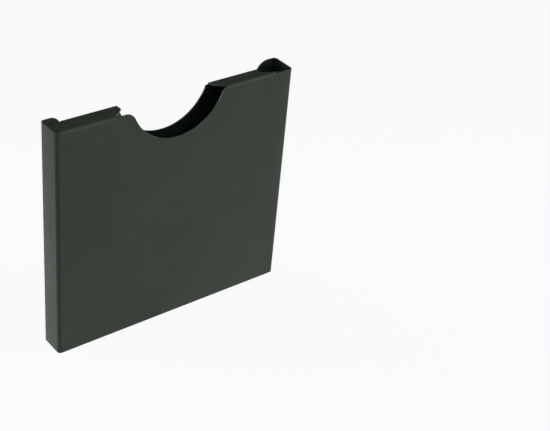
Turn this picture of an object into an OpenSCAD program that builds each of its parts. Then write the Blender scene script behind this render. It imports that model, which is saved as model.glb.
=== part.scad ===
// Disposable glove dispenser: a flat case folded from one sheet, standing on its open end.
// Origin at the middle of the footprint, on the rim it stands on. +Z up, front panel at -Y.

/* [Case] */
// Outside width, left wall to right wall
case_w = 280; // [240:1:360]
// Height from the open rim to the folded top edge
case_h = 261; // [180:1:340]
// Outside depth, front face to back face
case_d = 30.5; // [20:0.5:50]
// Thickness of the sheet
sheet_t = 1.5; // [1:0.1:2]
// Outside radius of the four upright bends
bend_r = 4; // [3:0.5:7]
// Outside radius of the fold between the front panel and each tab
fold_r = 3; // [2.5:0.1:4]

/* [Finger cut-out] */
// Radius of the round cut-out in the front and back panels
cut_r = 55.5; // [50:0.5:64]
// Depth of the front cut-out below the folded top edge
cut_depth = 41; // [30:0.5:48]
// Shift of the cut-out from the middle of the case towards the left
cut_offset = 2; // [0:0.5:8]
// How much lower the cut-out sits in the back panel
back_cut_drop = 6; // [0:0.5:8]
// Radius of the front cut-out's left shoulder
left_shoulder_r = 12; // [4:0.5:14]
// Radius of the front cut-out's right shoulder
right_shoulder_r = 8; // [4:0.5:14]

/* [Left tab] */
// Slope of the tab below level, in degrees
left_tilt = 13; // [6:0.5:16]
// Distance at the fold between the left wall's outside and the tab
left_root_gap = 4; // [4:0.5:8]
// Gap between the left wall's inside and the tab's outer end
left_side_gap = 0.8; // [0.4:0.1:2]
// Length of plain top edge between the tab and the cut-out's shoulder
left_free_edge = 9; // [5:0.5:20]
// Depth at which the tab's slanted inner end turns towards the back
left_turn_depth = 19; // [8:0.5:22]
// Setback of that turn from the edge of the cut-out
left_turn_setback = 3; // [1:0.5:8]
// Size of the trimmed outer back corner
left_corner_trim = 2; // [1.5:0.5:6]

/* [Right tab] */
// Slope of the tab below level, in degrees
right_tilt = 17.5; // [6:0.5:21]
// Length of plain top edge between the right wall's outside and the tab
right_root_gap = 19.5; // [10:0.5:24]
// Depth at which the tab's slanted outer end turns towards the back
right_turn_depth = 15.5; // [8:0.5:20]
// Setback of that turn from the side of the right ear
right_turn_setback = 4.5; // [0:0.5:8]
// Depth at which the tab's inner end turns towards the back
right_inner_depth = 21.5; // [8:0.5:25]
// Setback of that turn from the edge of the cut-out
right_inner_setback = 1.5; // [0.5:0.5:5]
// Setback of the tab's inner back corner from the edge of the cut-out
right_corner_setback = 3; // [0.5:0.5:6]

/* [Back ears] */
// Width of the ear left standing at the left end of the back panel
left_ear_w = 21.5; // [14:0.5:26]
// Corner radius of the left ear
left_ear_r = 11; // [3:0.5:13]
// Width of the ear left standing at the right end of the back panel
right_ear_w = 25.5; // [22:0.5:34]
// Corner radius of the right ear
right_ear_r = 15.5; // [5:0.5:18]
// Clearance between a tab and the back panel's edge and ears
seat_gap = 0.3; // [0.1:0.1:1]

/* [Hanging keyholes] */
// Distance between the two keyholes
keyhole_spacing = 180; // [100:1:200]
// Height of the narrow end's centre above the open rim
keyhole_height = 30; // [20:1:60]
// Distance from the narrow end's centre to the entry hole's centre
keyhole_travel = 9; // [8:0.5:14]
// Diameter of the entry hole, which passes a screw's head
keyhole_entry_d = 9; // [7:0.5:12]
// Width of the narrow slot, which holds a screw's shank
keyhole_slot_w = 4.5; // [3:0.5:6]

/* [Hidden] */
$fn = 96;

sheet_color = "#35393a";

// Inside radii of the bends, which share the outside bends' centres
inner_bend_r = bend_r - sheet_t;
inner_fold_r = fold_r - sheet_t;

// Faces of the case
front_y = -case_d / 2;
back_y = case_d / 2;
back_inside_y = back_y - sheet_t;
left_x = -case_w / 2;
right_x = case_w / 2;

// Centres of the cut-out circles, above the folded edge
cut_x = -cut_offset;
front_cut_z = case_h - cut_depth + cut_r;
back_cut_z = front_cut_z - back_cut_drop;

// Sideways distance from the cut-out's centre to the centre of a shoulder's round, which
// touches the folded edge's level and the cut-out circle
function shoulder_reach(r) = sqrt(pow(cut_r + r, 2) - pow(front_cut_z - case_h + r, 2));

left_shoulder_x = cut_x - shoulder_reach(left_shoulder_r);
right_shoulder_x = cut_x + shoulder_reach(right_shoulder_r);

// Length of a tab's flat from its fold to the back face, along its slope
function flat_len(tilt) = (case_d - fold_r - fold_r * sin(tilt)) / cos(tilt);

// Height of a tab's lower side where it passes the back face
function seat_z(tilt) = case_h - fold_r + inner_fold_r * cos(tilt) - flat_len(tilt) * sin(tilt);

// Half width of the back cut-out at height z
function back_cut_half(z) = sqrt(cut_r * cut_r - pow(back_cut_z - z, 2));

// Width of an ear at height z, where its round corner may already have begun
function ear_reach(w, r, z) =
    z > case_h - r ? w - r + sqrt(r * r - pow(z - case_h + r, 2)) : w;

left_seat_z = seat_z(left_tilt) - seat_gap;
right_seat_z = seat_z(right_tilt) - seat_gap;
left_cut_x = cut_x - back_cut_half(left_seat_z);
right_cut_x = cut_x + back_cut_half(right_seat_z);

// Allowance by which a cutting shape runs past the face it opens
over = 5;

// A tab's flat lies this far inside the fold's tangent line, so that the two surfaces cross
tangent_lap = 0.002;

module rounded_slab(w, d, r) {
    square([w - 2 * r, d], center = true);
    square([w, d - 2 * r], center = true);
    for (sx = [-1, 1], sy = [-1, 1])
        translate([sx * (w / 2 - r), sy * (d / 2 - r)])
            circle(r);
}

// The sheet bent round into a flat tube
module tube() {
    linear_extrude(case_h)
        difference() {
            rounded_slab(case_w, case_d, bend_r);
            rounded_slab(case_w - 2 * sheet_t, case_d - 2 * sheet_t, inner_bend_r);
        }
}

// Front cut-out seen from the front: the circle, widened at the top by the shoulders
module front_cut_profile() {
    difference() {
        union() {
            translate([cut_x, front_cut_z])
                circle(cut_r);
            translate([left_shoulder_x, case_h - left_shoulder_r])
                square([cut_x - left_shoulder_x, left_shoulder_r + over]);
            translate([cut_x, case_h - right_shoulder_r])
                square([right_shoulder_x - cut_x, right_shoulder_r + over]);
        }
        translate([left_shoulder_x, case_h - left_shoulder_r])
            circle(left_shoulder_r);
        translate([right_shoulder_x, case_h - right_shoulder_r])
            circle(right_shoulder_r);
    }
}

// What is cut from an ear's inner top corner, for the ear on the left
module ear_round(w, r) {
    translate([w - r, case_h - r])
        difference() {
            square([r, r + over]);
            circle(r);
        }
}

// One half of the back panel's top edge: the notch beside an ear, cut down to the tab's seat
module notch_profile(ear_w, ear_r, floor_z) {
    intersection() {
        translate([0, floor_z])
            square([case_w / 2, case_h - floor_z + over]);
        union() {
            translate([ear_w, floor_z - over])
                square([case_w / 2 - ear_w, case_h - floor_z + 2 * over]);
            ear_round(ear_w, ear_r);
        }
    }
}

module back_cut_profile() {
    translate([cut_x, back_cut_z])
        circle(cut_r);
    translate([left_x, 0])
        notch_profile(left_ear_w, left_ear_r, left_seat_z);
    mirror([1, 0])
        translate([left_x, 0])
            notch_profile(right_ear_w, right_ear_r, right_seat_z);
}

module keyhole_profile() {
    circle(d = keyhole_slot_w);
    translate([-keyhole_slot_w / 2, 0])
        square([keyhole_slot_w, keyhole_travel]);
    translate([0, keyhole_travel])
        circle(d = keyhole_entry_d);
}

// Runs a shape drawn in X and Z through the panel that lies between y_low and y_high
module through_panel(y_low, y_high) {
    translate([0, y_high, 0])
        rotate([90, 0, 0])
            linear_extrude(y_high - y_low)
                children();
}

// The region under a fold of radius r: the upright panel's side, the bend and the tab's side
module under_fold(r, tilt, length, depth) {
    circle(r);
    translate([-r, -depth])
        square([r, depth]);
    rotate(-tilt)
        translate([0, -depth])
            square([length, depth + r - tangent_lap]);
}

// Section of the fold and the tab, drawn in Y and Z from the front face at the folded edge.
// Its foot laps down into the front panel by one sheet thickness.
module tab_section(tilt) {
    translate([fold_r, -fold_r])
        difference() {
            under_fold(fold_r, tilt, flat_len(tilt), sheet_t);
            under_fold(inner_fold_r, tilt, flat_len(tilt) + over, case_d);
        }
}

// A tab bent from the front panel, trimmed to its outline seen from above
module tab(tilt, outline) {
    intersection() {
        translate([left_x, front_y, case_h])
            rotate([90, 0, 90])
                linear_extrude(case_w)
                    tab_section(tilt);
        translate([0, 0, case_h / 2])
            linear_extrude(case_h)
                polygon(outline);
    }
}

left_root_x = left_x + left_root_gap;
left_side_x = left_x + sheet_t + left_side_gap;
left_root_end_x = left_shoulder_x - left_free_edge;
left_ear_side_x = left_x + ear_reach(left_ear_w, left_ear_r, left_seat_z) + seat_gap;
right_root_x = right_x - right_root_gap;
right_ear_side_x = right_x - ear_reach(right_ear_w, right_ear_r, right_seat_z) - seat_gap;
right_corner_x = right_cut_x + right_corner_setback;

// Depth behind which a tab keeps clear of the ears
ear_clear_y = back_inside_y - seat_gap;

// Depth at which the front panel's upright bend ends
upright_end_y = front_y + bend_r;

// Depth at which the bend ends and the tab's slanted ends begin
bend_end_y = front_y + fold_r;

left_outline = [
    [left_root_x, front_y - over],
    [left_root_end_x, front_y - over],
    [left_root_end_x, bend_end_y],
    [left_cut_x - left_turn_setback, front_y + left_turn_depth],
    [left_cut_x, back_y + over],
    [left_ear_side_x, back_y + over],
    [left_ear_side_x, ear_clear_y],
    [left_side_x + left_corner_trim, ear_clear_y],
    [left_side_x, ear_clear_y - left_corner_trim],
    [left_side_x, upright_end_y],
    [left_root_x, bend_end_y]
];

right_outline = [
    [right_root_x, front_y - over],
    [right_shoulder_x, front_y - over],
    [right_shoulder_x, bend_end_y],
    [right_cut_x + right_inner_setback, front_y + right_inner_depth],
    [right_corner_x, back_y],
    [right_corner_x, back_y + over],
    [right_ear_side_x, back_y + over],
    [right_ear_side_x, ear_clear_y],
    [right_ear_side_x - right_turn_setback, front_y + right_turn_depth],
    [right_root_x, bend_end_y]
];

// Takes the front panel's upper edge away where a fold replaces it
module fold_relief(x_low, x_high) {
    translate([x_low, front_y - over, case_h - fold_r])
        cube([x_high - x_low, over + bend_r, fold_r + over]);
}

module case() {
    color(sheet_color) union() {
        difference() {
            tube();
            through_panel(front_y - over, 0)
                front_cut_profile();
            through_panel(back_inside_y, back_y + over)
                back_cut_profile();
            for (side = [-1, 1])
                translate([side * keyhole_spacing / 2, 0, keyhole_height])
                    through_panel(0, back_y + over)
                        keyhole_profile();
            fold_relief(left_root_x, left_root_end_x);
            fold_relief(right_shoulder_x, right_root_x);
        }
        tab(left_tilt, left_outline);
        tab(right_tilt, right_outline);
    }
}

case();
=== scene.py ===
import math

import bmesh
import bpy
from mathutils import Matrix, Vector


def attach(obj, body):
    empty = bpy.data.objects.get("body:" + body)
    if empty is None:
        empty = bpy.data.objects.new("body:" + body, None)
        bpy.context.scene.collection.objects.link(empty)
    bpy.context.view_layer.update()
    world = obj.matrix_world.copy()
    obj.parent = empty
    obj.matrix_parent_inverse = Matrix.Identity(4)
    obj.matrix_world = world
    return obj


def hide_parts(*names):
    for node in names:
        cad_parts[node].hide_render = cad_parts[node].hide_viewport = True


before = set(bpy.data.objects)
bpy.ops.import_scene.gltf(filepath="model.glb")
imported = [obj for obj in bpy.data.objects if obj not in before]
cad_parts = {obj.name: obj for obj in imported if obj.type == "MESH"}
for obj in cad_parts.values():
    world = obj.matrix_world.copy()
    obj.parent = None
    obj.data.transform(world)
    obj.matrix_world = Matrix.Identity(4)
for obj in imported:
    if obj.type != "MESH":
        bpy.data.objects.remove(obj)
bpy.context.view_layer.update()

# Lengths are in metres and angles in degrees, unless a name says otherwise.

# Camera: its direction, lens, distance and the point that it looks at, solved from the case's outline
YAW, PITCH, ROLL = 41.06, 33.25, 5.79
LENS_MM, SENSOR_MM = 81.82, 36
DISTANCE = 1.4245
AIM = Vector((0.14883, 0, 0.06539))
CLIP_START, CLIP_END = 0.05, 50

# Middle and radius of the front cut-out's circle
CUT_X, CUT_Z, CUT_R = -0.002, 0.2755, 0.0555

# Height and radius of the rounds of the cut-out's shoulders, -1 on the left and 1 on the right
SHOULDERS = {-1: (0.249, 0.012), 1: (0.253, 0.008)}

# The CAD surface is welded where points are the same, and joined where facets are flat
SAME_POINT = 1e-6
FLAT_ANGLE = 0.6

# Points closer than this count as one where the shoulders are eased
NEAR = 2e-5

# Edges of the sheet are broken by this much, as deburred and painted edges are
EDGE_BREAK = 0.00032
EDGE_ANGLE = 32
EDGE_SEGMENTS = 2
EDGE_PROFILE = 0.5

# Places of the two paints in the shell's list of materials
FACE_SLOT, EDGE_SLOT = 0, 1

# Paint: darkest and lightest tone, lowest and highest roughness, and specular level
FACE_PAINT = ((0.024, 0.036, 0.025), (0.034, 0.049, 0.035), 0.3, 0.4, 0.22)
# The edge paint's tones are lighter than the face paint's: a painted highlight along the broken edges of the
# sheet
EDGE_HIGHLIGHT_PAINT = ((0.03, 0.043, 0.031), (0.042, 0.058, 0.043), 0.28, 0.36, 0.4)
PAINT_IOR = 1.5

# Noises of the paint: scale, detail and roughness of each
CLOUDS = (14, 3, 0.5)
MARKS = (42, 5, 0.6)
GRAIN = (480, 2, 0.5)
SHEEN = (60, 4, 0.5)
WAVES = (9, 1, 0.5)
PEEL = (520, 3, 0.6)

# How much of the tone is marks, and then grain, and the noise values of the darkest and lightest tone
MARKS_SHARE, GRAIN_SHARE = 0.45, 0.25
TONE_LOW, TONE_HIGH = 0.35, 0.65

# Noise values of the lowest and highest roughness
SHEEN_LOW, SHEEN_HIGH = 0.3, 0.7

# Strength and height of the bumps
WAVES_BUMP = (0.5, 0.004)
PEEL_BUMP = (0.12, 0.0004)

# Studio: colours, the strength of the world's ambient light, and half the floor's side
WHITE = (1, 1, 1, 1)
BACKGROUND_STRENGTH = 1
AMBIENT_COLOUR = (0.97, 0.99, 1, 1)
AMBIENT_STRENGTH = 0.2
PAPER_COLOUR = (0.86, 0.86, 0.86, 1)
FELT_COLOUR = (0.01, 0.01, 0.01, 1)
FLOOR_HALF = 12

# Share of the plain background in what is seen of the floor; the rest is lit paper, which keeps the shadow
FLOOR_PLAIN = 0.93

# Lamps: name, place, point aimed at, width, height, watts and spread
LAMPS = (
    ("key_left_behind", (-1.15, 0.95, 0.32), (-0.14, 0, 0), 0.5, 0.4, 0.45, 26),
    ("fill_right_front", (1.5, -0.75, 0.45), (-0.03, 0, 0.1), 1.0, 0.8, 2.1, 22),
    ("glint_front", (0.55, -0.92, 1.26), (-0.11, 0, 0.26), 0.25, 0.25, 2, 180),
    ("glint_behind", (-0.3, 0.95, 1.32), (0, 0, 0.26), 0.3, 0.3, 1.2, 180),
)

# Black card: name, place, point aimed at, width and height
CARD = ("flag_right_behind", (0.72, 1.02, 0.55), (0, 0, 0.55), 1.3, 1.1)


def make_camera():
    a, e, r = (math.radians(x) for x in (YAW, PITCH, ROLL))
    right = Vector((math.cos(a), -math.sin(a), 0))
    back = Vector((-math.sin(a) * math.cos(e), -math.cos(a) * math.cos(e), math.sin(e)))
    up = back.cross(right)
    rolled_right = math.cos(r) * right + math.sin(r) * up
    rolled_up = -math.sin(r) * right + math.cos(r) * up
    data = bpy.data.cameras.new("camera")
    data.sensor_width = SENSOR_MM
    data.lens = LENS_MM
    data.clip_start, data.clip_end = CLIP_START, CLIP_END
    camera = bpy.data.objects.new("camera", data)
    bpy.context.scene.collection.objects.link(camera)
    turn = Matrix((rolled_right, rolled_up, back)).transposed().to_4x4()
    camera.matrix_world = Matrix.Translation(AIM + back * DISTANCE) @ turn
    bpy.context.scene.camera = camera


def new_material(name):
    material = bpy.data.materials.new(name)
    material.use_nodes = True
    tree = material.node_tree
    tree.nodes.clear()
    out = tree.nodes.new("ShaderNodeOutputMaterial")
    return material, tree, out


def link(tree, source, target):
    tree.links.new(source, target)


def noise(tree, coords, scale, detail, rough):
    node = tree.nodes.new("ShaderNodeTexNoise")
    node.inputs["Scale"].default_value = scale
    node.inputs["Detail"].default_value = detail
    node.inputs["Roughness"].default_value = rough
    link(tree, coords, node.inputs["Vector"])
    return node.outputs["Fac"]


def tones(tree, value, dark, light):
    """The dark colour at low values of the noise and the light one at high values."""
    node = tree.nodes.new("ShaderNodeValToRGB")
    for element, place, colour in zip(node.color_ramp.elements, (TONE_LOW, TONE_HIGH), (dark, light)):
        element.position = place
        element.color = (*colour, 1)
    link(tree, value, node.inputs["Fac"])
    return node.outputs["Color"]


def roughness(tree, value, low, high):
    node = tree.nodes.new("ShaderNodeMapRange")
    node.inputs["From Min"].default_value = SHEEN_LOW
    node.inputs["From Max"].default_value = SHEEN_HIGH
    node.inputs["To Min"].default_value = low
    node.inputs["To Max"].default_value = high
    link(tree, value, node.inputs["Value"])
    return node.outputs["Result"]


def blend(tree, a, b, share):
    node = tree.nodes.new("ShaderNodeMix")
    node.data_type = "FLOAT"
    node.inputs["Factor"].default_value = share
    link(tree, a, node.inputs["A"])
    link(tree, b, node.inputs["B"])
    return node.outputs["Result"]


def bump(tree, height, strength, distance):
    node = tree.nodes.new("ShaderNodeBump")
    node.inputs["Strength"].default_value = strength
    node.inputs["Distance"].default_value = distance
    link(tree, height, node.inputs["Height"])
    return node


def paint_material(name, dark, light, rough_low, rough_high, specular):
    """Satin baked paint on sheet steel: slight tone drift, fine orange peel, slow waviness of the sheet."""
    material, tree, out = new_material(name)
    shader = tree.nodes.new("ShaderNodeBsdfPrincipled")
    shader.inputs["Metallic"].default_value = 0
    shader.inputs["IOR"].default_value = PAINT_IOR
    shader.inputs["Specular IOR Level"].default_value = specular
    coords = tree.nodes.new("ShaderNodeTexCoord").outputs["Object"]
    tone = blend(tree, noise(tree, coords, *CLOUDS), noise(tree, coords, *MARKS), MARKS_SHARE)
    tone = blend(tree, tone, noise(tree, coords, *GRAIN), GRAIN_SHARE)
    sheen = noise(tree, coords, *SHEEN)
    wave = bump(tree, noise(tree, coords, *WAVES), *WAVES_BUMP)
    peel = bump(tree, noise(tree, coords, *PEEL), *PEEL_BUMP)
    link(tree, wave.outputs["Normal"], peel.inputs["Normal"])
    link(tree, tones(tree, tone, dark, light), shader.inputs["Base Color"])
    link(tree, roughness(tree, sheen, rough_low, rough_high), shader.inputs["Roughness"])
    link(tree, peel.outputs["Normal"], shader.inputs["Normal"])
    link(tree, shader.outputs["BSDF"], out.inputs["Surface"])
    return material


def ease_shoulders(bm):
    """Carries each shoulder's round straight into the cut-out's circle, where the solid has a small step."""
    for side, (z, radius) in SHOULDERS.items():
        rise = CUT_Z - z
        x = CUT_X + side * math.sqrt((CUT_R + radius) ** 2 - rise ** 2)
        touch_z = z + radius * rise / (CUT_R + radius)
        for vert in bm.verts:
            off_round = abs(math.hypot(vert.co.x - x, vert.co.z - z) - radius)
            if vert.co.y < 0 and off_round < NEAR and z - NEAR < vert.co.z < touch_z:
                vert.co.x = CUT_X + side * math.sqrt(CUT_R ** 2 - (vert.co.z - CUT_Z) ** 2)
    bmesh.ops.remove_doubles(bm, verts=bm.verts, dist=NEAR)


def shell_from(node):
    """A copy of the CAD node's surface, joined into whole faces and with easy shoulders."""
    mesh = node.data.copy()
    mesh.name = "case_shell"
    piece = bpy.data.objects.new("case_shell", mesh)
    bpy.context.scene.collection.objects.link(piece)
    bm = bmesh.new()
    bm.from_mesh(mesh)
    bmesh.ops.remove_doubles(bm, verts=bm.verts, dist=SAME_POINT)
    bmesh.ops.dissolve_limit(bm, angle_limit=math.radians(FLAT_ANGLE), use_dissolve_boundaries=False,
                             verts=bm.verts, edges=bm.edges)
    ease_shoulders(bm)
    for face in bm.faces:
        face.smooth = True
        face.material_index = FACE_SLOT
    bm.to_mesh(mesh)
    bm.free()
    if mesh.has_custom_normals:
        mesh.attributes.remove(mesh.attributes["custom_normal"])
    mesh.materials.clear()
    return piece


def break_edges(piece):
    bevel = piece.modifiers.new("edge_break", "BEVEL")
    bevel.limit_method = "ANGLE"
    bevel.angle_limit = math.radians(EDGE_ANGLE)
    bevel.width = EDGE_BREAK
    bevel.segments = EDGE_SEGMENTS
    bevel.profile = EDGE_PROFILE
    # The bevel faces take the lighter edge paint, a painted highlight along the edges
    bevel.material = EDGE_SLOT
    bevel.use_clamp_overlap = True
    bevel.harden_normals = True
    bevel.miter_outer = "MITER_ARC"


def point_at(thing, place, aim):
    thing.location = place
    thing.rotation_mode = "QUATERNION"
    thing.rotation_quaternion = (Vector(aim) - Vector(place)).to_track_quat("-Z", "Y")


def rectangle(name, half_x, half_y, material):
    """A flat sheet of the studio, around its own middle."""
    corners = [(-half_x, -half_y, 0), (half_x, -half_y, 0), (half_x, half_y, 0), (-half_x, half_y, 0)]
    mesh = bpy.data.meshes.new(name)
    mesh.from_pydata(corners, [], [(0, 1, 2, 3)])
    mesh.materials.append(material)
    sheet = bpy.data.objects.new(name, mesh)
    bpy.context.scene.collection.objects.link(sheet)
    return sheet


def softbox(name, place, aim, width, height, watts, spread):
    light = bpy.data.lights.new(name, "AREA")
    light.shape = "RECTANGLE"
    light.size, light.size_y = width, height
    light.energy = watts
    light.spread = math.radians(spread)
    lamp = bpy.data.objects.new(name, light)
    bpy.context.scene.collection.objects.link(lamp)
    point_at(lamp, place, aim)


def flag(name, place, aim, width, height):
    """A black card of the studio, out of the picture, that only reflections see."""
    material, tree, out = new_material("black_card")
    felt = tree.nodes.new("ShaderNodeBsdfDiffuse")
    felt.inputs["Color"].default_value = FELT_COLOUR
    link(tree, felt.outputs["BSDF"], out.inputs["Surface"])
    card = rectangle(name, width / 2, height / 2, material)
    point_at(card, place, aim)
    card.visible_camera = False
    card.visible_diffuse = False
    card.visible_shadow = False


def seen_rays(tree):
    """1 for camera, glossy and transmission rays, which see the plain background."""
    path = tree.nodes.new("ShaderNodeLightPath")
    total = path.outputs["Is Camera Ray"]
    for output in ("Is Glossy Ray", "Is Transmission Ray"):
        add = tree.nodes.new("ShaderNodeMath")
        add.operation = "MAXIMUM"
        link(tree, total, add.inputs[0])
        link(tree, path.outputs[output], add.inputs[1])
        total = add.outputs["Value"]
    return total


def mix_shaders(tree, share, first, second, out):
    mix = tree.nodes.new("ShaderNodeMixShader")
    link(tree, share, mix.inputs["Fac"])
    link(tree, first, mix.inputs[1])
    link(tree, second, mix.inputs[2])
    link(tree, mix.outputs["Shader"], out.inputs["Surface"])


def make_world():
    """White where the camera, a reflection or glass sees it, and the plain ambient for diffuse light."""
    world = bpy.data.worlds.new("world")
    bpy.context.scene.world = world
    world.use_nodes = True
    tree = world.node_tree
    tree.nodes.clear()
    out = tree.nodes.new("ShaderNodeOutputWorld")
    seen = tree.nodes.new("ShaderNodeBackground")
    seen.inputs["Color"].default_value = WHITE
    seen.inputs["Strength"].default_value = BACKGROUND_STRENGTH
    lighting = tree.nodes.new("ShaderNodeBackground")
    lighting.inputs["Color"].default_value = AMBIENT_COLOUR
    lighting.inputs["Strength"].default_value = AMBIENT_STRENGTH
    mix_shaders(tree, seen_rays(tree), lighting.outputs["Background"], seen.outputs["Background"], out)


def make_floor():
    """A pale floor: plain diffuse, with most of what is seen of it raised to the background's white."""
    material, tree, out = new_material("floor_paper")
    paper = tree.nodes.new("ShaderNodeBsdfDiffuse")
    paper.inputs["Color"].default_value = PAPER_COLOUR
    glow = tree.nodes.new("ShaderNodeEmission")
    glow.inputs["Color"].default_value = WHITE
    glow.inputs["Strength"].default_value = BACKGROUND_STRENGTH
    share = tree.nodes.new("ShaderNodeMath")
    share.operation = "MULTIPLY"
    share.inputs[1].default_value = FLOOR_PLAIN
    link(tree, seen_rays(tree), share.inputs[0])
    mix_shaders(tree, share.outputs["Value"], paper.outputs["BSDF"], glow.outputs["Emission"], out)
    floor = rectangle("floor", FLOOR_HALF, FLOOR_HALF, material)


make_camera()
make_world()
make_floor()
for lamp in LAMPS:
    softbox(*lamp)
flag(*CARD)

shell = shell_from(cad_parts["case"])
shell.data.materials.append(paint_material("satin_paint", *FACE_PAINT))
# Second slot: the lighter edge paint, a painted highlight on the broken edges
shell.data.materials.append(paint_material("satin_paint_edge_painted_highlight", *EDGE_HIGHLIGHT_PAINT))
break_edges(shell)
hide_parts("case")
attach(shell, "root")

view = bpy.context.scene.view_settings
view.view_transform = "Standard"

bpy.context.view_layer.update()
